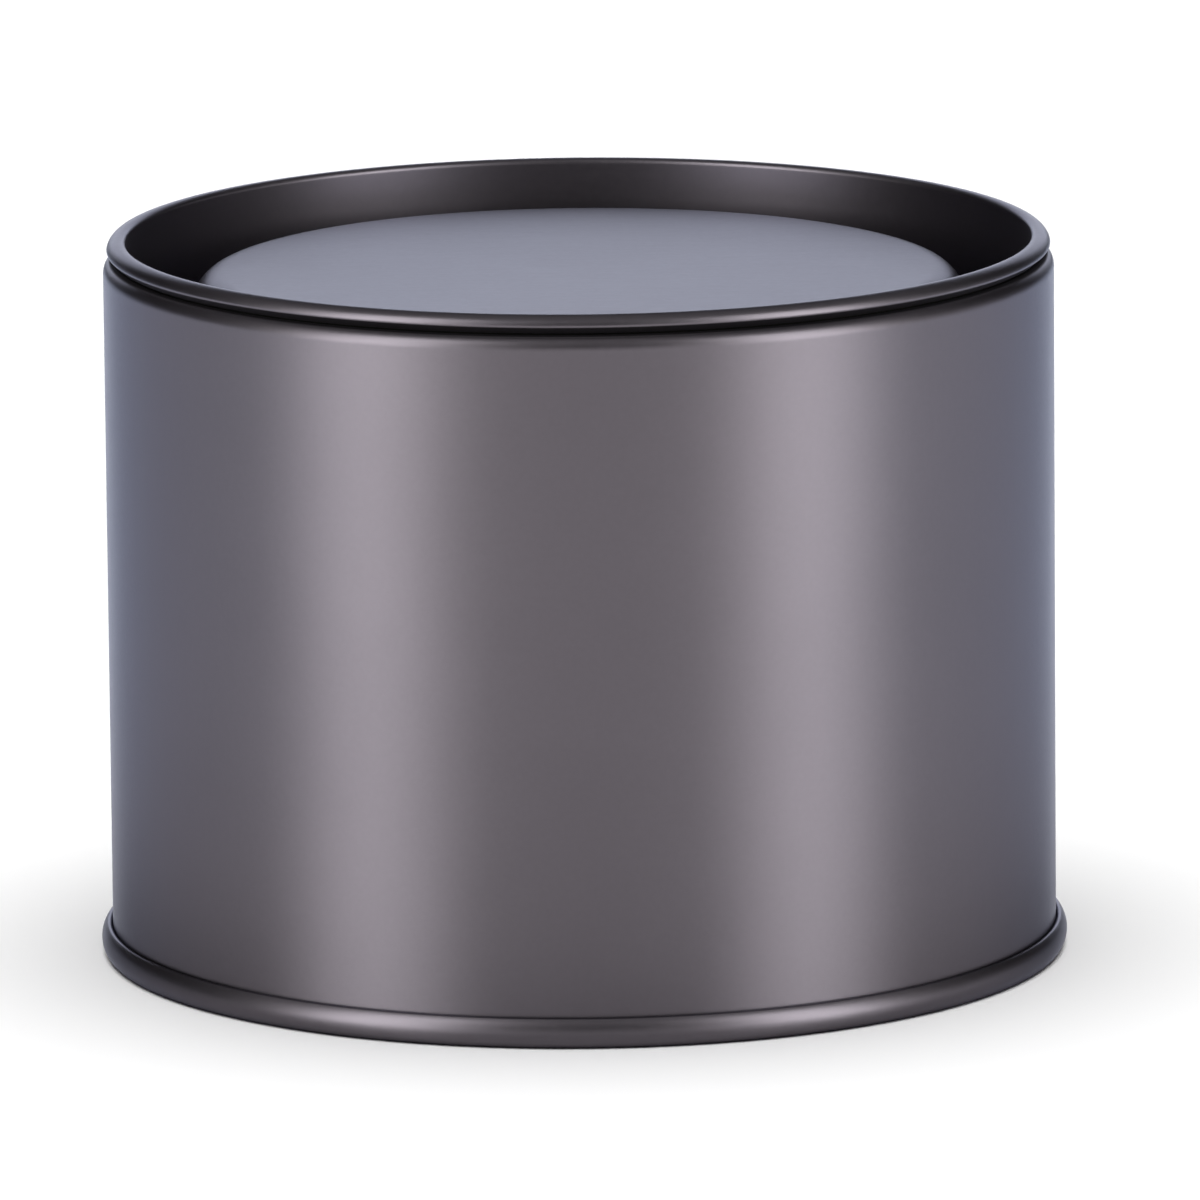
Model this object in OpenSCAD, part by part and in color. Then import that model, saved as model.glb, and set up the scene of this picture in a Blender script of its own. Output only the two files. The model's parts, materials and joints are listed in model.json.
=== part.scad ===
// Round tin with a press-in lid: a rolled and seamed body, a base double-seamed to it,
// and a drawn lid whose bead sits on the rolled mouth. Millimetres, +Z up, base on Z = 0.

/* [Tin] */
// Outside diameter of the body wall
body_d = 76; // [60:1:110]
// Height from the ground to the top of the rolled mouth
body_h = 56.4; // [35:0.1:120]
// Thickness of the sheet that every piece is pressed from
sheet = 0.22; // [0.18:0.01:0.26]
// Outside radius of the shoulder where the wall turns in to the mouth
shoulder_r = 1.2; // [0.9:0.1:1.4]
// Diameter of the curl that ends the mouth
curl_d = 1.1; // [0.9:0.1:1.4]

/* [Double seam] */
// Height of the seam that holds the base
seam_h = 2.4; // [2.35:0.05:3.2]
// Clearance between folded layers of sheet
layer_gap = 0.03; // [0.02:0.005:0.04]
// Outside radius of the two corners that the seam stands on
foot_r = 0.46; // [0.32:0.02:0.5]
// Angle by which the seam's crowned face leans in at its top and bottom
crown_lean = 18; // [8:1:18]
// Height of the hook turned up from the body wall
body_hook_h = 1.5; // [1.1:0.05:1.55]
// Height of the hook turned down from the base
cover_hook_h = 1.45; // [1.1:0.05:1.5]
// Thickness of the sealing compound under the body hook, clearances included
compound_t = 0.25; // [0.2:0.01:0.3]

/* [Base] */
// Height of the groove pressed round the base, measured from the ground
groove_h = 3.2; // [3.1:0.05:4]
// Inside radius at the top of the groove
groove_r = 0.5; // [0.4:0.05:0.6]
// Height of the flat base panel above the ground
base_panel_h = 2.5; // [1.8:0.05:2.6]
// Slope of the press line between the panel and the groove
groove_slope = 60; // [45:1:75]
// Inside radius of the press line round the base panel
press_r = 0.4; // [0.3:0.05:0.5]

/* [Side seam] */
// Width of the lock seam down the back
lock_w = 2.6; // [2:0.1:4]
// Plain wall between each end of the lock seam and the rolled edge near it
notch_h = 0.5; // [0.3:0.1:2]

/* [Lid] */
// Diameter of the curled bead round the lid
bead_d = 1.5; // [1.3:0.1:2.2]
// Clearance between the lid's plug wall and the mouth curl
plug_gap = 0.15; // [0.1:0.05:0.3]
// Clearance between the lid's bead and the mouth curl that it sits on
seat_gap = 0.1; // [0.05:0.05:0.3]
// Depth of the plug, from the crest of the bead to the underside of the moat
plug_depth = 8.7; // [7:0.1:12]
// Outside radius of the bends at the bottom of the moat
moat_r = 1.2; // [0.8:0.1:1.5]
// Outside diameter of the raised panel
panel_d = 61.8; // [45:0.2:64]
// Drop from the crest of the bead to the top of the raised panel
panel_drop = 2.8; // [1:0.1:3.4]
// Radius of the raised panel's rounded edge
panel_edge_r = 2.6; // [1:0.1:3]

/* [Hidden] */

gunmetal = [0.36, 0.35, 0.38];
compound_grey = [0.2, 0.2, 0.21];

// Facets round the tin and round one small bend, and the radius up to which a bend is small
$fn = 144;
bend_facets = 32;
small_bend_r = 3;
// A cutting fan's largest step in degrees, and its reach as a share of the arc it cuts
fan_step = 30;
fan_reach_share = 1.5;
// Overrun by which stretches of one sheet run into each other where they join
overrun = 0.01;

// How far the mouth and the lid's bead roll round in degrees, and the shoulder's part of it
curl_turn = 290;
bead_turn = 285;
shoulder_turn = 60;
// Slope in degrees of the bevels of the sealing compound
compound_bevel = 45;

// Folded layers: pitch, and the inside and outside radius of a fold round one layer
layer = sheet + layer_gap;
fold_in_r = sheet / 2 + layer_gap;
fold_r = fold_in_r + sheet;

// Body wall, and the shoulder and curl of the mouth
wall_r = body_d / 2;
curl_r = curl_d / 2;
curl_axis_r = wall_r - shoulder_r + (shoulder_r - curl_r) * cos(shoulder_turn);
curl_axis_z = body_h - curl_r;
shoulder_z = curl_axis_z - (shoulder_r - curl_r) * sin(shoulder_turn);

// Double seam, from the inside out: base wall, body wall, cover hook, body hook, seam face
base_wall_r = wall_r - sheet - layer;
face_r = wall_r + 3 * layer;
cap_r = (face_r - wall_r - layer_gap) / (1 + cos(crown_lean));
crown_r = (seam_h - (foot_r + cap_r) * (1 - sin(crown_lean))) / (2 * sin(crown_lean));
foot_out_r = face_r - foot_r * cos(crown_lean);
hook_axis_r = wall_r - sheet + fold_r;
hook_axis_z = sheet + compound_t + fold_r;

// Press line between the base panel and the groove
press_rise = groove_h - base_panel_h - (press_r + sheet + groove_r) * (1 - cos(groove_slope));
press_run = press_rise / sin(groove_slope);
base_panel_r = base_wall_r - groove_r - (press_r + sheet + groove_r) * sin(groove_slope)
    - press_run * cos(groove_slope);

// Lock seam down the back, as azimuths in degrees
function azimuth(arc) = arc / wall_r * 180 / PI;
lock_low_z = groove_h + sheet + notch_h;
lock_top_z = min(curl_axis_z - curl_r, shoulder_z) - notch_h;
lock_from = 90 - azimuth(lock_w) / 2;
lock_to = lock_from + azimuth(lock_w);
hook_angle = azimuth(lock_w - fold_in_r);
step_from = lock_to + azimuth(layer);
step_axis_r = wall_r - fold_r;
step_angle = asin((fold_in_r + fold_r) / step_axis_r);
step_h = step_axis_r * cos(step_angle) - (wall_r - 3 * layer + fold_in_r);

// Lid
plug_r = curl_axis_r - curl_r - plug_gap;
bead_r = bead_d / 2;
bead_axis_r = plug_r - sheet + bead_r;
bead_axis_z = curl_axis_z
    + sqrt(pow(bead_r + curl_r + seat_gap, 2) - pow(bead_axis_r - curl_axis_r, 2));
lid_top = bead_axis_z + bead_r;
lid_low = lid_top - plug_depth;
panel_z = lid_top - panel_drop;
boss_r = panel_d / 2 - sheet;

function unit(angle) = [cos(angle), sin(angle)];

// Fan of rays from one angle to another, for cutting an arc out of a ring
module fan(from, to, reach) {
    steps = ceil(abs(to - from) / fan_step);
    polygon(concat([[0, 0]], [for (i = [0:steps]) reach * unit(from + (to - from) * i / steps)]));
}

// Section of a bent sheet. A move is a straight length, or [radius, turn] for a bend, where
// the radius is that of the sheet's right-hand face and a turn to the left is positive.
module sheet_run(at, heading, moves, i = 0) {
    if (i < len(moves)) {
        move = moves[i];
        left = unit(heading + 90);
        back = i == 0 ? 0 : overrun;
        if (is_num(move)) {
            start = at - back * unit(heading);
            end = at + move * unit(heading);
            polygon([start, end, end + sheet * left, start + sheet * left]);
            sheet_run(end, heading, moves, i + 1);
        } else {
            side = sign(move[1]);
            axis = at + side * move[0] * left;
            outer_r = move[0] + (side < 0 ? sheet : 0);
            from = heading - side * 90;
            back_turn = side * back / outer_r * 180 / PI;
            facets = outer_r < small_bend_r ? bend_facets : $fn;
            translate(axis) intersection() {
                difference() {
                    circle(outer_r, $fn = facets);
                    circle(outer_r - sheet, $fn = facets);
                }
                fan(from - back_turn, from + move[1], outer_r * fan_reach_share);
            }
            sheet_run(axis + move[0] * unit(from + move[1]), heading + move[1], moves, i + 1);
        }
    }
}

// Level section of the wall: one sheet bent round the tin, its edges hooked into each other
module wall_section() {
    tip = lock_from + hook_angle;
    sheet_run((wall_r - layer - sheet) * unit(tip), tip - 90, [
        [wall_r - layer - sheet, -hook_angle],
        [fold_in_r, -180],
        [wall_r - 3 * layer, step_from - lock_from],
        [fold_in_r, -90],
        step_h,
        [fold_r, 90 + step_angle],
        [wall_r, 360 - (step_from + step_angle - lock_to)],
        [fold_r, 180],
        [wall_r - 2 * layer - sheet, -hook_angle]
    ]);
}

// Body: wall with its lock seam, mouth curl above and body hook below
module body_shell() {
    color(gunmetal) union() {
        translate([0, 0, lock_low_z - overrun])
            linear_extrude(lock_top_z - lock_low_z + 2 * overrun) wall_section();
        rotate_extrude() sheet_run([wall_r, lock_top_z], 90, [
            shoulder_z - lock_top_z,
            [shoulder_r, shoulder_turn],
            [curl_r, curl_turn - shoulder_turn]
        ]);
        rotate_extrude() sheet_run([wall_r - sheet, lock_low_z], -90, [
            lock_low_z - hook_axis_z,
            [fold_r, 180],
            body_hook_h - fold_r
        ]);
    }
}

// Base: flat panel, groove, wall inside the body, and the seam rolled up round the body hook
module base_end() {
    color(gunmetal) rotate_extrude() sheet_run([0, base_panel_h], 0, [
        base_panel_r,
        [press_r + sheet, groove_slope],
        press_run,
        [groove_r, -90 - groove_slope],
        groove_h - groove_r - foot_r,
        [foot_r, 90],
        foot_out_r - base_wall_r - foot_r,
        [foot_r, 90 - crown_lean],
        [crown_r, 2 * crown_lean],
        [cap_r, 180 - crown_lean],
        cover_hook_h - cap_r
    ]);
}

// Sealing compound: a thin ring in the trough of the seam, bevelled to fit the trough's corners
// below it and the bend of the body hook above it
module seam_compound() {
    low_z = sheet + layer_gap;
    in_r = base_wall_r + low_z;
    out_r = foot_out_r + foot_r - low_z;
    corner = (foot_r - low_z) * (2 - sqrt(2));
    under_hook = fold_r + layer_gap;
    top_z = hook_axis_z - under_hook;
    flat_in_r = hook_axis_r - under_hook * tan(compound_bevel / 2);
    flat_out_r = hook_axis_r + under_hook * tan(compound_bevel / 2);
    color(compound_grey) rotate_extrude() polygon([
        [in_r + corner, low_z],
        [out_r - corner, low_z],
        [out_r, low_z + corner],
        [out_r, top_z + (out_r - flat_out_r) * tan(compound_bevel)],
        [flat_out_r, top_z],
        [flat_in_r, top_z],
        [in_r, top_z + (flat_in_r - in_r) * tan(compound_bevel)],
        [in_r, low_z + corner]
    ]);
}

// Lid: raised panel, moat, plug wall, and the bead curled outward over the mouth
module lid() {
    color(gunmetal) rotate_extrude() sheet_run([0, panel_z - sheet], 0, [
        panel_d / 2 - panel_edge_r,
        [panel_edge_r - sheet, -90],
        panel_z - panel_edge_r - lid_low - moat_r,
        [moat_r, 90],
        plug_r - boss_r - 2 * moat_r,
        [moat_r, 90],
        bead_axis_z - lid_low - moat_r,
        [bead_r - sheet, -bead_turn]
    ]);
}

body_shell();
base_end();
seam_compound();
lid();
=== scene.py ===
"""Round tin with a press-in lid: smooth spun sheet, satin lacquer and a plain white studio.

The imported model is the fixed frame. Each piece of sheet is drawn as the section of a bent sheet
and spun round the tin's axis by geometry nodes. Lengths are in metres, and the angles of the
sections and the studio are in degrees.
"""

import json
import math

import bmesh
import bpy
from bpy.props import FloatProperty, FloatVectorProperty, IntProperty, PointerProperty
from mathutils import Matrix, Vector


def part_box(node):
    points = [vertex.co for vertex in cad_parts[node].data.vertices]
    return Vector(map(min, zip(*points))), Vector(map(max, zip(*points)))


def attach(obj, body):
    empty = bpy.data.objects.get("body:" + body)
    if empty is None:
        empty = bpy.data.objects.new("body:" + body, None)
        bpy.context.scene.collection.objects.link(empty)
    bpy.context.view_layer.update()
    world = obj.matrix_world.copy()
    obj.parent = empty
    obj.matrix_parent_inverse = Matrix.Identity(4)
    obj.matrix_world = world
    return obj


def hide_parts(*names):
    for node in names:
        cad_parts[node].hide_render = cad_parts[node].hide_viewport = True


bl_info = {
    "name": "Round Tin",
    "version": (1, 0, 0),
    "blender": (4, 5, 0),
    "location": "3D View > Sidebar > Round Tin",
    "description": "Builds a seamed round tin with a press-in lid, its finishes and its studio",
    "category": "Add Mesh",
}

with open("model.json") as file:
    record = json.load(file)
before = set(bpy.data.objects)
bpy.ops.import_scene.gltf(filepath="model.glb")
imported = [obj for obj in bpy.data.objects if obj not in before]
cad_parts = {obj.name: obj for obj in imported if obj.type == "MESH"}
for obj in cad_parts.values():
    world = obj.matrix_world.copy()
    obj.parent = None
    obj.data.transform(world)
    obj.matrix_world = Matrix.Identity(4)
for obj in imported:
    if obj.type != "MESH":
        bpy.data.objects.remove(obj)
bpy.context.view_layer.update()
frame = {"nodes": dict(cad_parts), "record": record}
BODY_LOW, BODY_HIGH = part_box("body_shell")
BASE_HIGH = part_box("base_end")[1]
LID_LOW, LID_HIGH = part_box("lid")

MM = 0.001
WHITE = (1.0, 1.0, 1.0)


# Settings that a user would change


def length(name, description, millimetres):
    """A length property, shown in metres, whose default is given in millimetres."""
    return FloatProperty(
        name=name, description=description, default=millimetres * MM, unit="LENGTH", precision=6
    )


def degrees(name, description, default):
    """An angle property, shown and given in degrees, and kept in radians."""
    return FloatProperty(
        name=name, description=description, default=math.radians(default), subtype="ANGLE"
    )


def colour(name, description, default):
    """A colour property in linear light."""
    return FloatVectorProperty(
        name=name, description=description, default=default, subtype="COLOR", min=0.0, max=1.0
    )


class TinSizes(bpy.types.PropertyGroup):
    """Sizes of the bent sheet that the frame's boxes don't give."""

    sheet: length("Sheet", "Thickness of the sheet of every piece", 0.22)
    layer_gap: length("Layer gap", "Clearance between folded layers of sheet", 0.03)
    shoulder_r: length("Shoulder", "Radius where the wall turns in to the mouth", 1.2)
    curl_r: length("Mouth curl", "Radius of the curl that ends the mouth", 0.55)
    bead_r: length("Lid bead", "Half the width and height of the bead round the lid", 0.75)
    bead_in_r: length("Bead, inner edge", "Radius of the bead's bend next to the moat", 0.4)
    bead_out_r: length("Bead, outer edge", "Radius of the bead's bend at its widest", 0.28)
    bead_end_r: length("Bead, rolled end", "Radius of the bead's bend at its end", 0.5)
    cap_r: length("Seam top", "Outside radius of the bend over the top of the seam", 0.24)
    seam_h: length("Seam height", "Height of the double seam", 2.4)
    body_hook_h: length("Body hook", "Height of the hook turned up from the wall", 1.5)
    cover_hook_h: length("Cover hook", "Height of the hook turned down from the base", 1.45)
    groove_r: length("Groove radius", "Inside radius at the top of the base's groove", 0.5)
    base_panel_h: length("Base panel", "Height of the base panel above the ground", 2.5)
    press_r: length("Press line", "Inside radius of the press line round the base", 0.4)
    lock_w: length("Lock seam", "Width of the lock seam down the back", 2.6)
    notch_h: length("Lock seam notch", "Plain wall at each end of the lock seam", 0.5)
    moat_r: length("Moat radius", "Outside radius of the bends in the moat", 1.2)
    panel_r: length("Panel radius", "Outside radius of the lid's raised panel", 30.9)
    panel_drop: length("Panel drop", "Drop from the bead's crest to the raised panel", 2.8)
    panel_edge_r: length("Panel edge", "Radius of the raised panel's rounded edge", 2.6)
    top_lean: degrees("Top lean", "Lean of the seam's round face at its top", 42.0)
    foot_lean: degrees("Foot lean", "Lean of the seam's round face at its foot", 35.0)
    groove_slope: degrees("Groove slope", "Slope of the base's press line", 60.0)
    shoulder_turn: degrees("Shoulder turn", "How far the wall turns in the shoulder", 60.0)
    curl_turn: degrees("Curl turn", "How far the mouth rolls, shoulder included", 290.0)
    bead_turns: FloatVectorProperty(
        name="Bead turns",
        description="Turns of the bead's inner edge, crown, outer edge and end",
        size=4,
        default=tuple(math.radians(turn) for turn in (75.0, 90.0, 65.0, 55.0)),
        unit="ROTATION",
    )
    bend_step: degrees("Bend step", "Largest turn of one facet of a bend", 6.0)
    segments: IntProperty(name="Segments", description="Facets round the tin", default=288)
    wall_segments: IntProperty(
        name="Wall segments", description="Facets round the wall with the lock seam", default=416
    )


class TinColours(bpy.types.PropertyGroup):
    """Colours in linear light."""

    lacquer: colour("Lacquer", "Gunmetal lacquer over tinplate", (0.131, 0.117, 0.133))
    lacquer_edge: colour("Lacquer sheen", "The lacquer seen edge on", (0.70, 0.74, 0.86))
    tinplate: colour("Tinplate", "Bare tinplate inside the tin", (0.56, 0.55, 0.52))
    compound: colour("Compound", "Sealing compound in the base seam", (0.033, 0.033, 0.036))
    floor: colour("Floor", "Studio floor", (1.0, 1.0, 1.0))


# Node trees


class Wire:
    """A socket in a node tree. Arithmetic on it adds Math nodes."""

    def __init__(self, graph, socket):
        self.graph = graph
        self.socket = socket

    def math(self, operation, *others):
        """The Math node of that name, on this value and the others."""
        return self.graph.math(operation, self, *others)

    def __add__(self, other):
        return self.math("ADD", other)

    def __radd__(self, other):
        return self.math("ADD", other)

    def __sub__(self, other):
        return self.math("SUBTRACT", other)

    def __rsub__(self, other):
        return self.graph.math("SUBTRACT", other, self)

    def __mul__(self, other):
        return self.math("MULTIPLY", other)

    def __rmul__(self, other):
        return self.math("MULTIPLY", other)

    def __truediv__(self, other):
        return self.math("DIVIDE", other)

    def __rtruediv__(self, other):
        return self.graph.math("DIVIDE", other, self)

    def __neg__(self):
        return self.math("MULTIPLY", -1.0)

    def ramp(self, low, high, to_low=0.0, to_high=1.0):
        """This value mapped smoothly from one range to another, and held at its ends."""
        node = self.graph.node(
            "ShaderNodeMapRange",
            {"interpolation_type": "SMOOTHSTEP"},
            {
                "Value": self,
                "From Min": low,
                "From Max": high,
                "To Min": to_low,
                "To Max": to_high,
            },
        )
        return node.wire("Result")


class Placed:
    """A node that was added to a graph. Its outputs are wires, by name or by number."""

    def __init__(self, graph, node):
        self.graph = graph
        self.node = node

    def wire(self, key):
        return Wire(self.graph, self.node.outputs[key])


class Graph:
    """A node tree under construction."""

    def __init__(self, tree):
        self.tree = tree
        tree.nodes.clear()

    def node(self, kind, settings=None, inputs=None):
        """Adds a node: its settings first, then its inputs by name or in order."""
        node = self.tree.nodes.new(kind)
        for name, setting in (settings or {}).items():
            setattr(node, name, setting)
        pairs = inputs.items() if isinstance(inputs, dict) else enumerate(inputs or [])
        for key, value in pairs:
            socket = node.inputs[key]
            if isinstance(value, Wire):
                self.tree.links.new(value.socket, socket)
            else:
                socket.default_value = value
        return Placed(self, node)

    def math(self, operation, *values):
        """The result of a Math node on these values, which are wires or plain numbers."""
        return self.node("ShaderNodeMath", {"operation": operation}, values).wire("Value")


def radius_of(place):
    """The distance from the tin's axis, from a place's separate X, Y and Z."""
    return (place.wire("X").math("POWER", 2.0) + place.wire("Y").math("POWER", 2.0)).math("SQRT")


# Points of the spun sheet this close together become one
MERGE_WITHIN = 1e-6
# A face counts as lacquered below this mean of its corners' attribute bare
LACQUERED_BELOW = 0.25
# Layers of sheet behind the outer face in the lock seam
LOCK_LAYERS = 3.0


def group_tree(name, inputs):
    """A geometry node group with one geometry in and out, and these inputs by name and type."""
    tree = bpy.data.node_groups.new(name, "GeometryNodeTree")
    sockets = {}
    face = tree.interface
    face.new_socket("Geometry", in_out="INPUT", socket_type="NodeSocketGeometry")
    face.new_socket("Geometry", in_out="OUTPUT", socket_type="NodeSocketGeometry")
    for label, kind in inputs.items():
        sockets[label] = face.new_socket(label, in_out="INPUT", socket_type=kind).identifier
    return tree, sockets


def run_tree(piece, tree, sockets, values):
    """Runs the tree on the piece and keeps the result as its plain mesh."""
    modifier = piece.modifiers.new(tree.name, "NODES")
    modifier.node_group = tree
    for label, value in values.items():
        modifier[sockets[label]] = value
    graph = bpy.context.evaluated_depsgraph_get()
    mesh = bpy.data.meshes.new_from_object(piece.evaluated_get(graph), depsgraph=graph)
    section = piece.data
    piece.modifiers.remove(modifier)
    piece.data = mesh
    mesh.name = piece.name
    bpy.data.meshes.remove(section)


def spin_tree():
    """Geometry nodes that spin a section round the tin's axis, with the lock seam at the back.

    The section lies in the XZ plane and carries the attribute bare, 1 on the unlacquered face.
    """
    tree, sockets = group_tree(
        "Spin sheet",
        {
            "Segments": "NodeSocketInt",
            "Path radius": "NodeSocketFloat",
            "Pinch": "NodeSocketFloat",
            "Fold radius": "NodeSocketFloat",
            "Layer": "NodeSocketFloat",
            "Lock width": "NodeSocketFloat",
            "Lock low": "NodeSocketFloat",
            "Lock top": "NodeSocketFloat",
            "Lacquer": "NodeSocketMaterial",
            "Bare": "NodeSocketMaterial",
        },
    )
    graph = Graph(tree)
    given = graph.node("NodeGroupInput")

    # The path: a circle whose points crowd together at the back, by the pinch
    path = graph.node(
        "GeometryNodeCurvePrimitiveCircle",
        {"mode": "RADIUS"},
        {"Resolution": given.wire("Segments"), "Radius": given.wire("Path radius")},
    )
    share = graph.node("GeometryNodeInputIndex").wire("Index") / given.wire("Segments")
    turn = share * math.tau
    turn = turn - given.wire("Pinch") * turn.math("SINE")
    around = graph.node(
        "ShaderNodeCombineXYZ",
        inputs={
            "X": -(turn.math("SINE") * given.wire("Path radius")),
            "Y": turn.math("COSINE") * given.wire("Path radius"),
        },
    )
    path = graph.node(
        "GeometryNodeSetPosition",
        inputs={"Geometry": path.wire("Curve"), "Position": around.wire("Vector")},
    )

    # The section, laid flat for the sweep
    place = graph.node("GeometryNodeInputPosition").wire("Position")
    place = graph.node("ShaderNodeSeparateXYZ", inputs=[place])
    flat = graph.node(
        "ShaderNodeCombineXYZ",
        inputs={"X": place.wire("X") - given.wire("Path radius"), "Y": -place.wire("Z")},
    )
    section = graph.node("GeometryNodeMeshToCurve", inputs=[given.wire("Geometry")])
    section = graph.node(
        "GeometryNodeSetPosition",
        inputs={"Geometry": section.wire("Curve"), "Position": flat.wire("Vector")},
    )
    spun = graph.node(
        "GeometryNodeCurveToMesh",
        inputs={"Curve": path.wire("Geometry"), "Profile Curve": section.wire("Geometry")},
    )
    spun = graph.node(
        "GeometryNodeMergeByDistance",
        inputs={"Geometry": spun.wire("Mesh"), "Distance": MERGE_WITHIN},
    )

    # The lock seam: a groove in the outer face, and the folded layers inside
    place = graph.node("GeometryNodeInputPosition").wire("Position")
    place = graph.node("ShaderNodeSeparateXYZ", inputs=[place])
    radius = radius_of(place)
    arc = (-place.wire("X")).math("ARCTAN2", place.wire("Y")) * given.wire("Path radius")
    fold = given.wire("Fold radius")
    layer = given.wire("Layer")
    half = given.wire("Lock width") * 0.5
    bare = graph.node(
        "GeometryNodeInputNamedAttribute", {"data_type": "FLOAT"}, {"Name": "bare"}
    ).wire("Attribute")

    off_groove = (arc - (half + fold)).math("ABSOLUTE")
    into = (fold - off_groove).math("MAXIMUM", 0.0)
    groove = fold - (fold * fold - into * into).math("SQRT")

    middle = layer * 0.5
    flat_half = half + middle
    past_flat = ((arc - middle).math("ABSOLUTE") - flat_half).math("MAXIMUM", 0.0)
    rounded = fold - (fold * fold - past_flat * past_flat).math("MAXIMUM", 0.0).math("SQRT")
    hump = (layer * LOCK_LAYERS - rounded) * past_flat.math("LESS_THAN", fold)

    height = place.wire("Z")
    on_seam = height.math("GREATER_THAN", given.wire("Lock low")) * height.math(
        "LESS_THAN", given.wire("Lock top")
    )
    near = radius.math("GREATER_THAN", given.wire("Path radius") * 0.5)
    inward = (groove * (1.0 - bare) + hump * bare) * on_seam * near
    pull = -(inward / radius.math("MAXIMUM", 1e-4))
    offset = graph.node(
        "ShaderNodeCombineXYZ",
        inputs={"X": place.wire("X") * pull, "Y": place.wire("Y") * pull},
    )
    folded = graph.node(
        "GeometryNodeSetPosition",
        inputs={"Geometry": spun.wire("Geometry"), "Offset": offset.wire("Vector")},
    )

    # Finish: smooth faces, lacquer outside, and bare tinplate inside and on the cut edges
    smooth = graph.node(
        "GeometryNodeSetShadeSmooth", inputs={"Geometry": folded.wire("Geometry")}
    )
    real = graph.node(
        "GeometryNodeRealizeInstances", inputs={"Geometry": smooth.wire("Geometry")}
    )
    inside = graph.node(
        "GeometryNodeSetMaterial",
        inputs={"Geometry": real.wire("Geometry"), "Material": given.wire("Bare")},
    )
    lacquered = bare.math("LESS_THAN", LACQUERED_BELOW)
    outside = graph.node(
        "GeometryNodeSetMaterial",
        inputs={
            "Geometry": inside.wire("Geometry"),
            "Selection": lacquered,
            "Material": given.wire("Lacquer"),
        },
    )
    graph.node("NodeGroupOutput", inputs=[outside.wire("Geometry")])
    return tree, sockets


# Sections of bent sheet


def in_degrees(setting):
    """An angle setting in degrees, rounded because settings are kept in single precision."""
    return round(math.degrees(setting), 3)


def unit(angle):
    """The direction at this angle from the X axis."""
    return Vector((math.cos(math.radians(angle)), math.sin(math.radians(angle))))


def sheet_section(at, heading, moves, sheet, step):
    """The right-hand and the left-hand face of a bent sheet, as lists of (radius, height).

    A move is a straight length, or (radius, turn) for a bend, where the radius is that of the
    sheet's right-hand face and a turn to the left is positive. The sheet lies on the left. A
    long straight has a short facet at each end, so that the bends' shading stops there.
    """
    at = Vector(at)
    right, left = [at.copy()], [at + sheet * unit(heading + 90)]
    ease = sheet / 2

    def add(point, angle):
        right.append(point.copy())
        left.append(point + sheet * unit(angle + 90))

    for move in moves:
        if isinstance(move, tuple):
            radius, turn = move
            side = math.copysign(1.0, turn)
            axis = at + side * radius * unit(heading + 90)
            facets = math.ceil(abs(turn) / step)
            for i in range(1, facets + 1):
                angle = heading + turn * i / facets
                add(axis - side * radius * unit(angle + 90), angle)
            heading += turn
            at = right[-1].copy()
        else:
            ahead = unit(heading)
            if move > 4 * ease:
                add(at + ease * ahead, heading)
                add(at + (move - ease) * ahead, heading)
            at = at + move * ahead
            add(at, heading)
    return right, left


def section_mesh(name, right, left, bare_left):
    """The closed outline of a sheet's section as a mesh of edges in the XZ plane."""
    outline = right + left[::-1]
    on_axis = right[0].x < 1e-9
    count = len(outline)
    edges = [(i, i + 1) for i in range(count - 1)]
    if not on_axis:
        edges.append((count - 1, 0))
    mesh = bpy.data.meshes.new(name)
    mesh.from_pydata([(p.x, 0.0, p.y) for p in outline], edges, [])
    bare = mesh.attributes.new("bare", "FLOAT", "POINT")
    first, second = (0.0, 1.0) if bare_left else (1.0, 0.0)
    bare.data.foreach_set("value", [first] * len(right) + [second] * len(left))
    return mesh


def split_at(faces, heights, crease):
    """Adds points to a wall's straight stretch, one just below and one just above each height."""
    for face in faces:
        for height in heights:
            for z in (height - crease, height + crease):
                spans = [
                    i
                    for i in range(len(face) - 1)
                    if (face[i].y - z) * (face[i + 1].y - z) < 0 and face[i].x == face[i + 1].x
                ]
                longest = max(spans, key=lambda i: abs(face[i + 1].y - face[i].y))
                face.insert(longest + 1, Vector((face[longest].x, z)))


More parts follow.
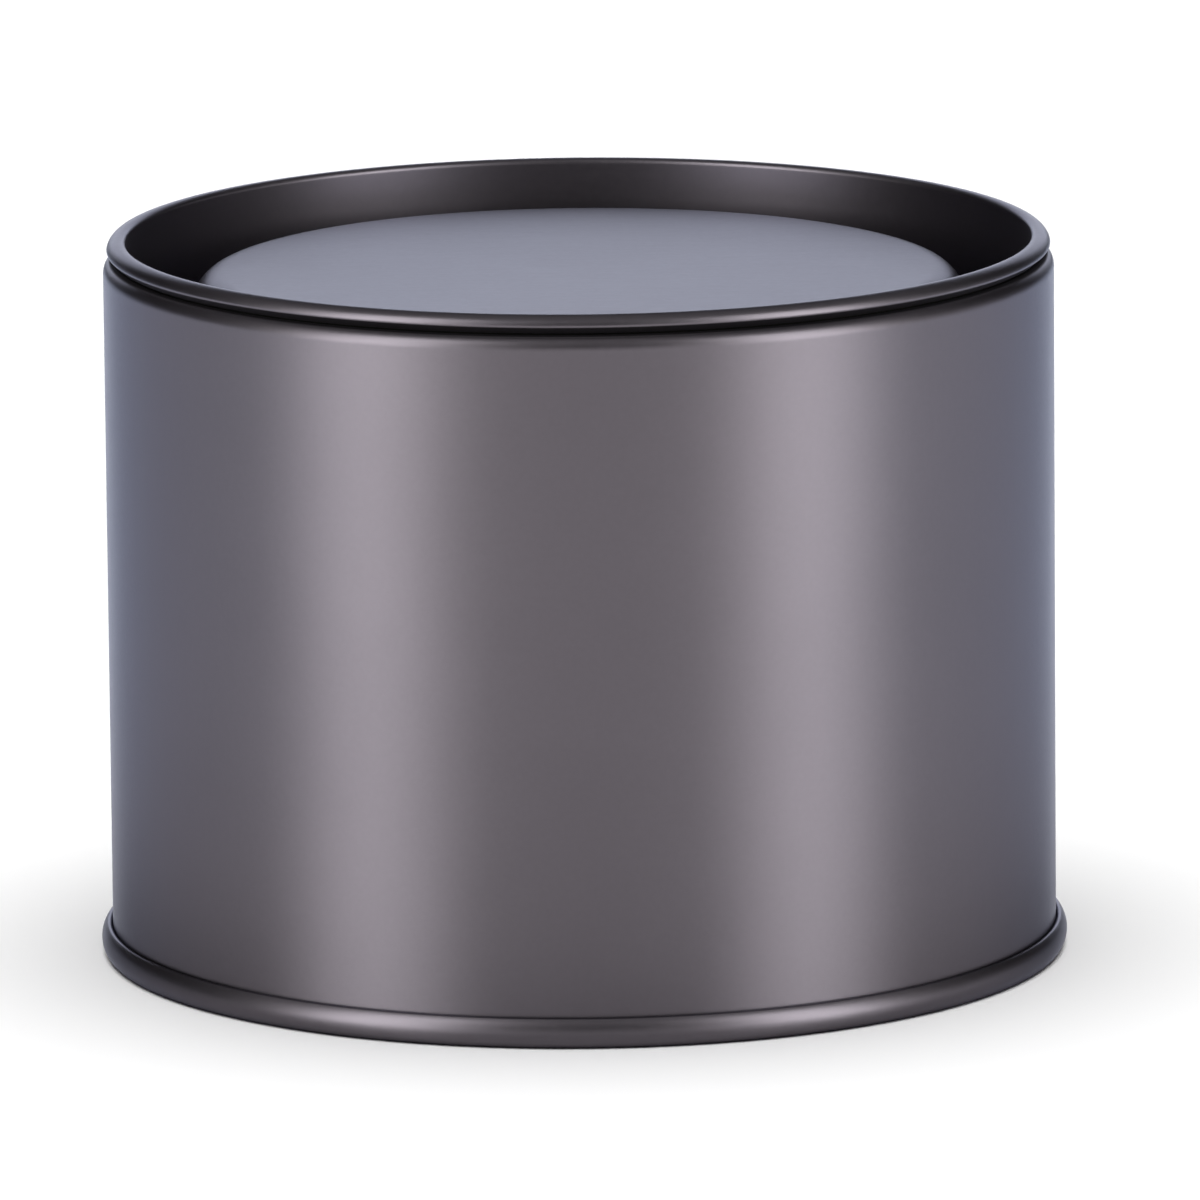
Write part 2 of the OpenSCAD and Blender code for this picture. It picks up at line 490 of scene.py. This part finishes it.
class SheetMetal:
    """The sizes that the sections share, worked out from the settings and the frame."""

    def __init__(self, sizes):
        s = self.s = sizes
        self.step = in_degrees(s.bend_step)
        self.shoulder_turn = in_degrees(s.shoulder_turn)
        self.layer = s.sheet + s.layer_gap
        self.fold_in_r = s.sheet / 2 + s.layer_gap
        self.fold_r = self.fold_in_r + s.sheet
        self.wall_r = BODY_HIGH.x - 2 * self.fold_r + s.sheet
        rise = (s.shoulder_r - s.curl_r) * unit(self.shoulder_turn).y
        self.shoulder_z = BODY_HIGH.z - s.curl_r - rise
        self.hook_axis_z = BODY_LOW.z + self.fold_r
        self.lock_low_z = BASE_HIGH.z + s.notch_h
        self.lock_top_z = self.shoulder_z - s.notch_h
        self.plug_r = LID_HIGH.x - 2 * s.bead_r + s.sheet

    def body(self):
        """The wall, from the top of the body hook to the end of the mouth's curl."""
        s = self.s
        leg = s.body_hook_h - self.fold_r
        start = (self.wall_r + 2 * self.fold_in_r, self.hook_axis_z + leg)
        moves = [
            leg,
            (self.fold_in_r, -180.0),
            self.shoulder_z - self.hook_axis_z,
            (s.shoulder_r, self.shoulder_turn),
            (s.curl_r, in_degrees(s.curl_turn) - self.shoulder_turn),
        ]
        return sheet_section(start, -90.0, moves, s.sheet, self.step)

    def base(self):
        """The base, from its middle to the end of the cover hook."""
        s = self.s
        top_lean, foot_lean = in_degrees(s.top_lean), in_degrees(s.foot_lean)
        groove_slope = in_degrees(s.groove_slope)
        top, foot = unit(top_lean), unit(foot_lean)
        slope = math.radians(groove_slope)
        groove_h = BASE_HIGH.z - s.sheet
        base_wall_r = self.wall_r - s.sheet - self.layer
        stand_off = BASE_HIGH.x - self.wall_r - s.layer_gap
        crown_r = (stand_off - s.cap_r * (1 + top.x)) / (1 - top.x)
        foot_h = s.seam_h - crown_r * (top.y + foot.y) - s.cap_r * (1 - top.y)
        foot_r = foot_h / (1 - foot.y)
        foot_out_r = BASE_HIGH.x - crown_r * (1 - foot.x) - foot_r * foot.x
        bends = s.press_r + s.sheet + s.groove_r
        press_run = (groove_h - s.base_panel_h - bends * (1 - math.cos(slope))) / math.sin(slope)
        panel_r = base_wall_r - s.groove_r - bends * math.sin(slope) - press_run * math.cos(slope)
        moves = [
            panel_r,
            (s.press_r + s.sheet, groove_slope),
            press_run,
            (s.groove_r, -90.0 - groove_slope),
            groove_h - s.groove_r - foot_r,
            (foot_r, 90.0),
            foot_out_r - base_wall_r - foot_r,
            (foot_r, 90.0 - foot_lean),
            (crown_r, foot_lean + top_lean),
            (s.cap_r, 180.0 - top_lean),
            s.cover_hook_h - s.cap_r,
        ]
        return sheet_section((0.0, s.base_panel_h), 0.0, moves, s.sheet, self.step)

    def lid(self):
        """The lid, from the middle of its panel to the rolled end of its bead."""
        s = self.s
        panel_z = LID_HIGH.z - s.panel_drop
        turns = [in_degrees(turn) for turn in s.bead_turns]
        normals = [180.0]
        for turn in turns:
            normals.append(normals[-1] - turn)
        crown, edge, under = (unit(angle) for angle in normals[1:4])
        crown_w = 2 * s.bead_r - s.bead_in_r * (1 + crown.x) - s.bead_out_r * (1 - edge.x)
        crown_r = crown_w / (edge.x - crown.x)
        crown_z = LID_HIGH.z - crown_r * (1 - crown.y)
        bead_z = crown_z - s.bead_in_r * crown.y
        under_z = crown_z - crown_r * (crown.y - edge.y) - s.bead_out_r * (edge.y - under.y)
        drop = under_z - (LID_HIGH.z - 2 * s.bead_r) - s.bead_end_r * (1 + under.y)
        moves = [
            s.panel_r - s.panel_edge_r,
            (s.panel_edge_r - s.sheet, -90.0),
            panel_z - s.panel_edge_r - LID_LOW.z - s.moat_r,
            (s.moat_r, 90.0),
            self.plug_r - (s.panel_r - s.sheet) - 2 * s.moat_r,
            (s.moat_r, 90.0),
            bead_z - LID_LOW.z - s.moat_r,
            (s.bead_in_r - s.sheet, -turns[0]),
            (crown_r - s.sheet, -turns[1]),
            (s.bead_out_r - s.sheet, -turns[2]),
            drop / under.x,
            (s.bead_end_r - s.sheet, -turns[3]),
        ]
        return sheet_section((0.0, panel_z - s.sheet), 0.0, moves, s.sheet, self.step)


# Finishes

LACQUER_ROUGHNESS = 0.38
TINPLATE_ROUGHNESS = 0.3
# How much the shade painted in the gap under the bead takes from the lacquer's and the tinplate's
# colour, and what it adds to their roughness
LACQUER_GAP_SHADE = 0.85
TINPLATE_GAP_SHADE = 0.95
GAP_SHADE_ROUGHNESS = 0.5


def new_material(name):
    """A node material, its graph and the position on the object."""
    material = bpy.data.materials.new(name)
    material.use_nodes = True
    graph = Graph(material.node_tree)
    place = graph.node("ShaderNodeTexCoord").wire("Object")
    return material, graph, place


def noise(graph, place, size, stretch=(1.0, 1.0, 1.0), detail=2.0, roughness=0.5, seed=0.0):
    """Noise whose blobs are about this size in metres, drawn out along each axis by stretch.
    Another seed shows another part of the noise."""
    scale = tuple(1.0 / (size * s) for s in stretch)
    mapping = graph.node(
        "ShaderNodeMapping",
        {"vector_type": "POINT"},
        {"Vector": place, "Scale": scale, "Location": (seed, seed * 1.7, seed * 2.3)},
    )
    texture = graph.node(
        "ShaderNodeTexNoise",
        {"noise_dimensions": "3D"},
        {
            "Vector": mapping.wire("Vector"),
            "Scale": 1.0,
            "Detail": detail,
            "Roughness": roughness,
        },
    )
    return texture.wire("Fac")


def mix_colours(graph, amount, first, second):
    """A mix of two fixed colours by an amount from 0 to 1. Its sockets go by number, because
    those for numbers, vectors and colours have the same names."""
    inputs = {0: amount, 6: (*first, 1.0), 7: (*second, 1.0)}
    return graph.node("ShaderNodeMix", {"data_type": "RGBA"}, inputs).wire(2)


def bump(graph, height, depth, normal=None):
    """A bump of this depth in metres where the height goes from 0 to 1."""
    inputs = {"Height": height, "Strength": 1.0, "Distance": depth}
    if normal:
        inputs["Normal"] = normal
    return graph.node("ShaderNodeBump", inputs=inputs).wire("Normal")


def shade(graph, inputs):
    """Ends a material's graph in a Principled shader."""
    shader = graph.node("ShaderNodeBsdfPrincipled", inputs=inputs)
    graph.node("ShaderNodeOutputMaterial", inputs={"Surface": shader.wire("BSDF")})


def scaled_colour(graph, fixed, scale):
    """A fixed colour made lighter or darker by a wire."""
    inputs = {"Vector": tuple(fixed), "Scale": scale}
    return graph.node("ShaderNodeVectorMath", {"operation": "SCALE"}, inputs).wire("Vector")


def painted_gap_shade(graph, place, inset, depth):
    """1 on what lies in the gap between the lid's bead and the mouth, where shade is painted into
    the colour. It reaches outwards from the plug wall less the inset, and upwards from this depth
    under the mouth's crest."""
    fade, rise = 0.15 * MM, 0.75 * MM
    inner = SheetMetal(bpy.context.scene.tin_sizes).plug_r - inset
    low, high = BODY_HIGH.z - depth, BODY_HIGH.z + rise
    parts = graph.node("ShaderNodeSeparateXYZ", inputs=[place])
    outer = radius_of(parts).ramp(inner, inner + 0.1 * MM)
    above = parts.wire("Z").ramp(low, low + fade)
    below = parts.wire("Z").ramp(high - fade, high, 1.0, 0.0)
    return outer * above * below


def lacquer(colours):
    """Satin gunmetal lacquer: faint clouds, specks, rolling grain, orange peel, and shade painted
    in the gap under the bead.
    """
    material, graph, place = new_material("Gunmetal lacquer")
    clouds = noise(graph, place, 14 * MM, detail=3.0, seed=3.0)
    specks = noise(graph, place, 0.5 * MM, detail=2.0, seed=7.0)
    grain = noise(graph, place, 0.12 * MM, stretch=(40.0, 1.0, 1.0), detail=1.0, seed=11.0)
    peel = noise(graph, place, 0.9 * MM, detail=1.0, seed=5.0)
    gap_shade = painted_gap_shade(graph, place, inset=-0.1 * MM, depth=0.2 * MM)

    tone = clouds.ramp(0.3, 0.7, 0.985, 1.015) * specks.ramp(0.3, 0.7, 0.985, 1.015)
    # Painted shade: the colour is darkened in the gap under the lid's bead, and the roughness
    # raised there
    tone = tone * (1.0 - gap_shade * LACQUER_GAP_SHADE)
    uneven = (clouds - 0.5) * 0.02 + (specks - 0.5) * 0.05 + (grain - 0.5) * 0.05
    roughness = LACQUER_ROUGHNESS + uneven + gap_shade * GAP_SHADE_ROUGHNESS
    normal = bump(graph, peel, 0.0012 * MM)
    normal = bump(graph, grain, 0.00025 * MM, normal)
    shade(
        graph,
        {
            "Base Color": scaled_colour(graph, colours.lacquer, tone),
            "Metallic": 1.0,
            "Roughness": roughness,
            "Specular Tint": (*colours.lacquer_edge, 1.0),
            "Normal": normal,
        },
    )
    return material


def tinplate(colours):
    """Bare tinplate: bright, with faint clouds, the fine lines of the rolls, and shade painted in
    the gap under the bead.
    """
    material, graph, place = new_material("Bare tinplate")
    lines = noise(graph, place, 0.15 * MM, stretch=(60.0, 1.0, 1.0), detail=2.0, seed=2.0)
    clouds = noise(graph, place, 9 * MM, detail=3.0, seed=4.0)
    gap_shade = painted_gap_shade(graph, place, inset=0.1 * MM, depth=0.9 * MM)

    tone = clouds.ramp(0.3, 0.7, 0.94, 1.04) * lines.ramp(0.25, 0.75, 0.96, 1.03)
    # Painted shade: the colour is darkened in the gap under the lid's bead, and the roughness
    # raised there
    tone = tone * (1.0 - gap_shade * TINPLATE_GAP_SHADE)
    uneven = (clouds - 0.5) * 0.1 + (lines - 0.5) * 0.12
    roughness = TINPLATE_ROUGHNESS + uneven + gap_shade * GAP_SHADE_ROUGHNESS
    shade(
        graph,
        {
            "Base Color": scaled_colour(graph, colours.tinplate, tone),
            "Metallic": 1.0,
            "Roughness": roughness,
            "Normal": bump(graph, lines, 0.0005 * MM),
        },
    )
    return material


def sealing_compound(colours):
    """Dried sealing compound: matt, uneven and slightly pitted."""
    material, graph, place = new_material("Sealing compound")
    lumps = noise(graph, place, 0.6 * MM, detail=4.0, roughness=0.65, seed=9.0)
    base = mix_colours(
        graph,
        lumps.ramp(0.3, 0.7),
        tuple(c * 0.8 for c in colours.compound),
        tuple(c * 1.25 for c in colours.compound),
    )
    shade(
        graph,
        {
            "Base Color": base,
            "Roughness": lumps.ramp(0.2, 0.8, 0.62, 0.85),
            "Normal": bump(graph, lumps, 0.03 * MM),
        },
    )
    return material


def finish_named(name, maker):
    """The material of that name, made once."""
    return bpy.data.materials.get(name) or maker(bpy.context.scene.tin_colours)


# Pieces

# Faces that meet at more than this are shaded with a sharp edge
SHARP_ANGLE = 38.0
# How far the wall's facets crowd together at the back, to draw the lock seam
LOCK_PINCH = 0.88
# Half the height of the step at either end of the lock seam
LOCK_STEP = 0.01 * MM
# A height above everything, for pieces that have no lock seam
NO_LOCK = 1.0


def spin_piece(node, faces, bare_left, segments, pinch, metal):
    """Spins a section into the piece that stands for a CAD node."""
    right, left = faces
    piece = bpy.data.objects.new(f"{node}_sheet", section_mesh(node, right, left, bare_left))
    bpy.context.scene.collection.objects.link(piece)
    tree, sockets = spin_tree()
    wall = node == "body_shell"
    run_tree(
        piece,
        tree,
        sockets,
        {
            "Segments": segments,
            "Path radius": metal.wall_r,
            "Pinch": pinch,
            "Fold radius": metal.fold_r,
            "Layer": metal.layer,
            "Lock width": metal.s.lock_w,
            "Lock low": metal.lock_low_z if wall else NO_LOCK,
            "Lock top": metal.lock_top_z if wall else NO_LOCK,
            "Lacquer": finish_named("Gunmetal lacquer", lacquer),
            "Bare": finish_named("Bare tinplate", tinplate),
        },
    )
    bpy.data.node_groups.remove(tree)
    tidy = bmesh.new()
    tidy.from_mesh(piece.data)
    bmesh.ops.recalc_face_normals(tidy, faces=tidy.faces)
    tidy.to_mesh(piece.data)
    tidy.free()
    piece.data.set_sharp_from_angle(angle=math.radians(SHARP_ANGLE))
    return piece


def dress(piece, node):
    """Ties a finished piece to its CAD node's body, and hides the node."""
    record = frame["record"]
    body = next(b for b, nodes in record["behaviour"]["bodies"].items() if node in nodes)
    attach(piece, body)
    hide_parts(node)


class TIN_OT_body(bpy.types.Operator):
    """Spin the body: wall, lock seam, mouth curl and body hook"""

    bl_idname = "tin.body"
    bl_label = "Body"

    def execute(self, context):
        sizes = context.scene.tin_sizes
        metal = SheetMetal(sizes)
        faces = metal.body()
        split_at(faces, (metal.lock_low_z, metal.lock_top_z), LOCK_STEP)
        piece = spin_piece("body_shell", faces, True, sizes.wall_segments, LOCK_PINCH, metal)
        dress(piece, "body_shell")
        return {"FINISHED"}


class TIN_OT_base(bpy.types.Operator):
    """Spin the base and the seam rolled round the body hook"""

    bl_idname = "tin.base"
    bl_label = "Base"

    def execute(self, context):
        sizes = context.scene.tin_sizes
        metal = SheetMetal(sizes)
        piece = spin_piece("base_end", metal.base(), True, sizes.segments, 0.0, metal)
        dress(piece, "base_end")
        return {"FINISHED"}


class TIN_OT_lid(bpy.types.Operator):
    """Spin the lid: raised panel, moat, plug wall and bead"""

    bl_idname = "tin.lid"
    bl_label = "Lid"

    def execute(self, context):
        sizes = context.scene.tin_sizes
        metal = SheetMetal(sizes)
        piece = spin_piece("lid", metal.lid(), False, sizes.segments, 0.0, metal)
        dress(piece, "lid")
        return {"FINISHED"}


class TIN_OT_compound(bpy.types.Operator):
    """Give the sealing compound in the base seam its finish"""

    bl_idname = "tin.compound"
    bl_label = "Sealing compound"

    def execute(self, context):
        ring = frame["nodes"]["seam_compound"]
        ring.data.materials.clear()
        ring.data.materials.append(finish_named("Sealing compound", sealing_compound))
        return {"FINISHED"}


# Studio

# The camera fitted to the outline of the tin in the photograph
FRAME_PX = 1200.0
FOCAL_PX = 14801.0
SENSOR_MM = 36.0
CAMERA_AT = (0.0, -1.16584, 0.259084)
PITCH, YAW, ROLL = -11.206, 0.0727, -0.52

STRIP_COLOUR = (0.985, 1.0, 0.98)
# Name, azimuth from the camera's side, distance, height, size, power in watts, colour
AREA_LAMPS = (
    ("Left strip", -51.0, 0.8, 0.55, (0.42, 1.1), 8.4, STRIP_COLOUR),
    ("Right strip", 54.8, 0.8, 0.43, (0.4, 0.86), 6.35, STRIP_COLOUR),
    ("Back card", 180.0, 1.2, 0.34, (1.1, 0.5), 3.85, WHITE),
)
# The overhead lamp's watts for each square metre, and the angle that it fills in the sky
OVERHEAD_STRENGTH = 3.0
OVERHEAD_SPREAD = 60.0

FLOOR_REACH = 4.0
FLOOR_SIDES = 128
# The floor's opening under the tin, as a share of the base's radius
FLOOR_OPENING = 0.94
FLOOR_SHEEN = 0.5
FLOOR_ROUGHNESS = 0.2
# What the tin mirrors of the floor: shade close by, and a glow further out that is stronger
# and bluer at the sides and behind. A span is the distance from the axis over which it changes
NEAR_SHADE, NEAR_SPAN = 0.3, (0.042, 0.085)
FAR_GLOW, FAR_SPAN = 0.2, (0.05, 0.18)
SIDE_GLOW = 0.18
SIDE_COLOUR = (0.64, 0.8, 1.0)

# What the tin mirrors of the surroundings, where 1 is white
HORIZON_GLOW = 0.45
CEILING_GLOW = 0.3
UNDER_GLOW = 0.9


def area_lamp(name, azimuth, distance, height, size, power, tint):
    """A soft lamp that stands beside the tin and faces its axis. Only gloss shows it."""
    data = bpy.data.lights.new(name, "AREA")
    data.shape = "RECTANGLE"
    data.size, data.size_y = size
    data.energy = power
    data.color = tint
    lamp = bpy.data.objects.new(name, data)
    angle = math.radians(azimuth)
    lamp.location = (distance * math.sin(angle), -distance * math.cos(angle), height)
    toward = Vector((0.0, 0.0, height)) - lamp.location
    lamp.rotation_euler = toward.to_track_quat("-Z", "Y").to_euler()
    lamp.visible_camera = False
    lamp.visible_diffuse = False
    bpy.context.scene.collection.objects.link(lamp)


def overhead_lamp():
    """A broad even light from above that whitens the floor and isn't seen in reflections."""
    data = bpy.data.lights.new("Overhead", "SUN")
    data.energy = OVERHEAD_STRENGTH
    data.angle = math.radians(OVERHEAD_SPREAD)
    lamp = bpy.data.objects.new("Overhead", data)
    lamp.location = (0.0, 0.0, 1.0)
    lamp.visible_glossy = False
    bpy.context.scene.collection.objects.link(lamp)


def floor_material(colours):
    """White with the tin's shadow to the camera, and clear to a camera below. The sheen, the
    near shade and the far glow show in the tin only."""
    material, graph, place = new_material("Studio floor")
    cloth = noise(graph, place, 0.4 * MM, detail=2.0)
    seen = graph.node("ShaderNodeLightPath").wire("Is Camera Ray")
    parts = graph.node("ShaderNodeSeparateXYZ", inputs=[place])
    apart = radius_of(parts)
    far = apart.ramp(*FAR_SPAN)
    shaded = 1.0 - (1.0 - seen) * apart.ramp(*NEAR_SPAN, NEAR_SHADE, 0.0)
    aside = (parts.wire("Y") / apart).ramp(-0.75, -0.3)
    shader = graph.node(
        "ShaderNodeBsdfPrincipled",
        inputs={
            "Base Color": scaled_colour(graph, colours.floor, shaded),
            "Roughness": FLOOR_ROUGHNESS,
            "Specular IOR Level": (1.0 - seen) * FLOOR_SHEEN,
            "Emission Color": mix_colours(graph, aside, WHITE, SIDE_COLOUR),
            "Emission Strength": (1.0 - seen) * far * (FAR_GLOW + aside * SIDE_GLOW),
            "Normal": bump(graph, cloth, 0.001 * MM),
        },
    )
    clear = graph.node("ShaderNodeBsdfTransparent").wire("BSDF")
    below = graph.node("ShaderNodeNewGeometry").wire("Backfacing")
    top = graph.node("ShaderNodeMixShader", inputs=[below * seen, shader.wire("BSDF"), clear])
    graph.node("ShaderNodeOutputMaterial", inputs={"Surface": top.wire("Shader")})
    return material


def studio_floor(colours):
    """A wide round floor, open under the base so that the base can be looked at."""
    sides = FLOOR_SIDES
    rim = [unit(360.0 * i / sides) for i in range(sides)]
    radii = (BASE_HIGH.x * FLOOR_OPENING, FLOOR_REACH)
    points = [(r * p.x, r * p.y, 0.0) for r in radii for p in rim]
    faces = [(i, i + sides, (i + 1) % sides + sides, (i + 1) % sides) for i in range(sides)]
    mesh = bpy.data.meshes.new("floor")
    mesh.from_pydata(points, [], faces)
    floor = bpy.data.objects.new("floor", mesh)
    bpy.context.scene.collection.objects.link(floor)
    mesh.materials.append(floor_material(colours))


def studio_world():
    """White to the camera. For the tin, a faint glow in front and on the right, a dim ceiling,
    and under the floor a light that shows the base to a camera down there. The ramps' ends are
    parts of the direction, whose length is 1."""
    world = bpy.data.worlds.new("Studio")
    world.use_nodes = True
    graph = Graph(world.node_tree)
    seen = graph.node("ShaderNodeLightPath").wire("Is Camera Ray")
    toward = graph.node("ShaderNodeTexCoord").wire("Generated")
    toward = graph.node("ShaderNodeSeparateXYZ", inputs=[toward])
    height = toward.wire("Z")
    before = toward.wire("Y").ramp(-0.8, -0.2, 1.0, 0.0)
    beside = toward.wire("X").ramp(0.75, 0.95)
    glow = height.ramp(-0.1, 0.0) * height.ramp(0.12, 0.35, 1.0, 0.0) * HORIZON_GLOW
    ceiling = height.ramp(0.45, 0.9) * CEILING_GLOW
    under = height.ramp(-0.3, -0.05, UNDER_GLOW, 0.0)
    around = (before + beside) * glow + ceiling + under
    strength = seen + (1.0 - seen) * around
    sky = graph.node(
        "ShaderNodeBackground", inputs={"Color": (*WHITE, 1.0), "Strength": strength}
    )
    graph.node("ShaderNodeOutputWorld", inputs={"Surface": sky.wire("Background")})
    bpy.context.scene.world = world


def photo_camera():
    """The camera, turned by pitch and yaw, and then rolled about its own line of sight."""
    data = bpy.data.cameras.new("Camera")
    data.sensor_width = SENSOR_MM
    data.lens = FOCAL_PX / FRAME_PX * SENSOR_MM
    data.clip_start = 0.01
    data.clip_end = 50.0
    camera = bpy.data.objects.new("Camera", data)
    ahead, aside, lean = unit(PITCH), unit(YAW), unit(ROLL)
    forward = Vector((aside.y * ahead.x, aside.x * ahead.x, ahead.y))
    level = forward.cross(Vector((0.0, 0.0, 1.0))).normalized()
    upright = level.cross(forward)
    right = lean.x * level + lean.y * upright
    up = -lean.y * level + lean.x * upright
    turn = Matrix((right, up, -forward)).transposed()
    camera.matrix_world = Matrix.Translation(CAMERA_AT) @ turn.to_4x4()
    bpy.context.scene.collection.objects.link(camera)
    bpy.context.scene.camera = camera


class TIN_OT_stage(bpy.types.Operator):
    """Set the floor, the lamps, the white surroundings and the camera"""

    bl_idname = "tin.stage"
    bl_label = "Studio"

    def execute(self, context):
        photo_camera()
        studio_world()
        studio_floor(context.scene.tin_colours)
        overhead_lamp()
        for lamp in AREA_LAMPS:
            area_lamp(*lamp)
        context.scene.view_settings.view_transform = "Standard"
        return {"FINISHED"}


class TIN_PT_panel(bpy.types.Panel):
    """Sizes, colours and pieces of the tin"""

    bl_label = "Round Tin"
    bl_idname = "TIN_PT_panel"
    bl_space_type = "VIEW_3D"
    bl_region_type = "UI"
    bl_category = "Round Tin"

    def draw(self, context):
        layout = self.layout
        for group in (context.scene.tin_sizes, context.scene.tin_colours):
            box = layout.box()
            for name in group.__annotations__:
                box.prop(group, name)
        for operator in OPERATORS:
            layout.operator(operator.bl_idname)


OPERATORS = (TIN_OT_stage, TIN_OT_body, TIN_OT_base, TIN_OT_compound, TIN_OT_lid)
CLASSES = (TinSizes, TinColours, *OPERATORS, TIN_PT_panel)


def register():
    for cls in CLASSES:
        bpy.utils.register_class(cls)
    bpy.types.Scene.tin_sizes = PointerProperty(type=TinSizes)
    bpy.types.Scene.tin_colours = PointerProperty(type=TinColours)


def unregister():
    del bpy.types.Scene.tin_sizes
    del bpy.types.Scene.tin_colours
    for cls in reversed(CLASSES):
        bpy.utils.unregister_class(cls)


def main():
    register()
    bpy.ops.tin.stage()
    bpy.ops.tin.body()
    bpy.ops.tin.base()
    bpy.ops.tin.compound()
    bpy.ops.tin.lid()


if __name__ == "__main__":
    main()
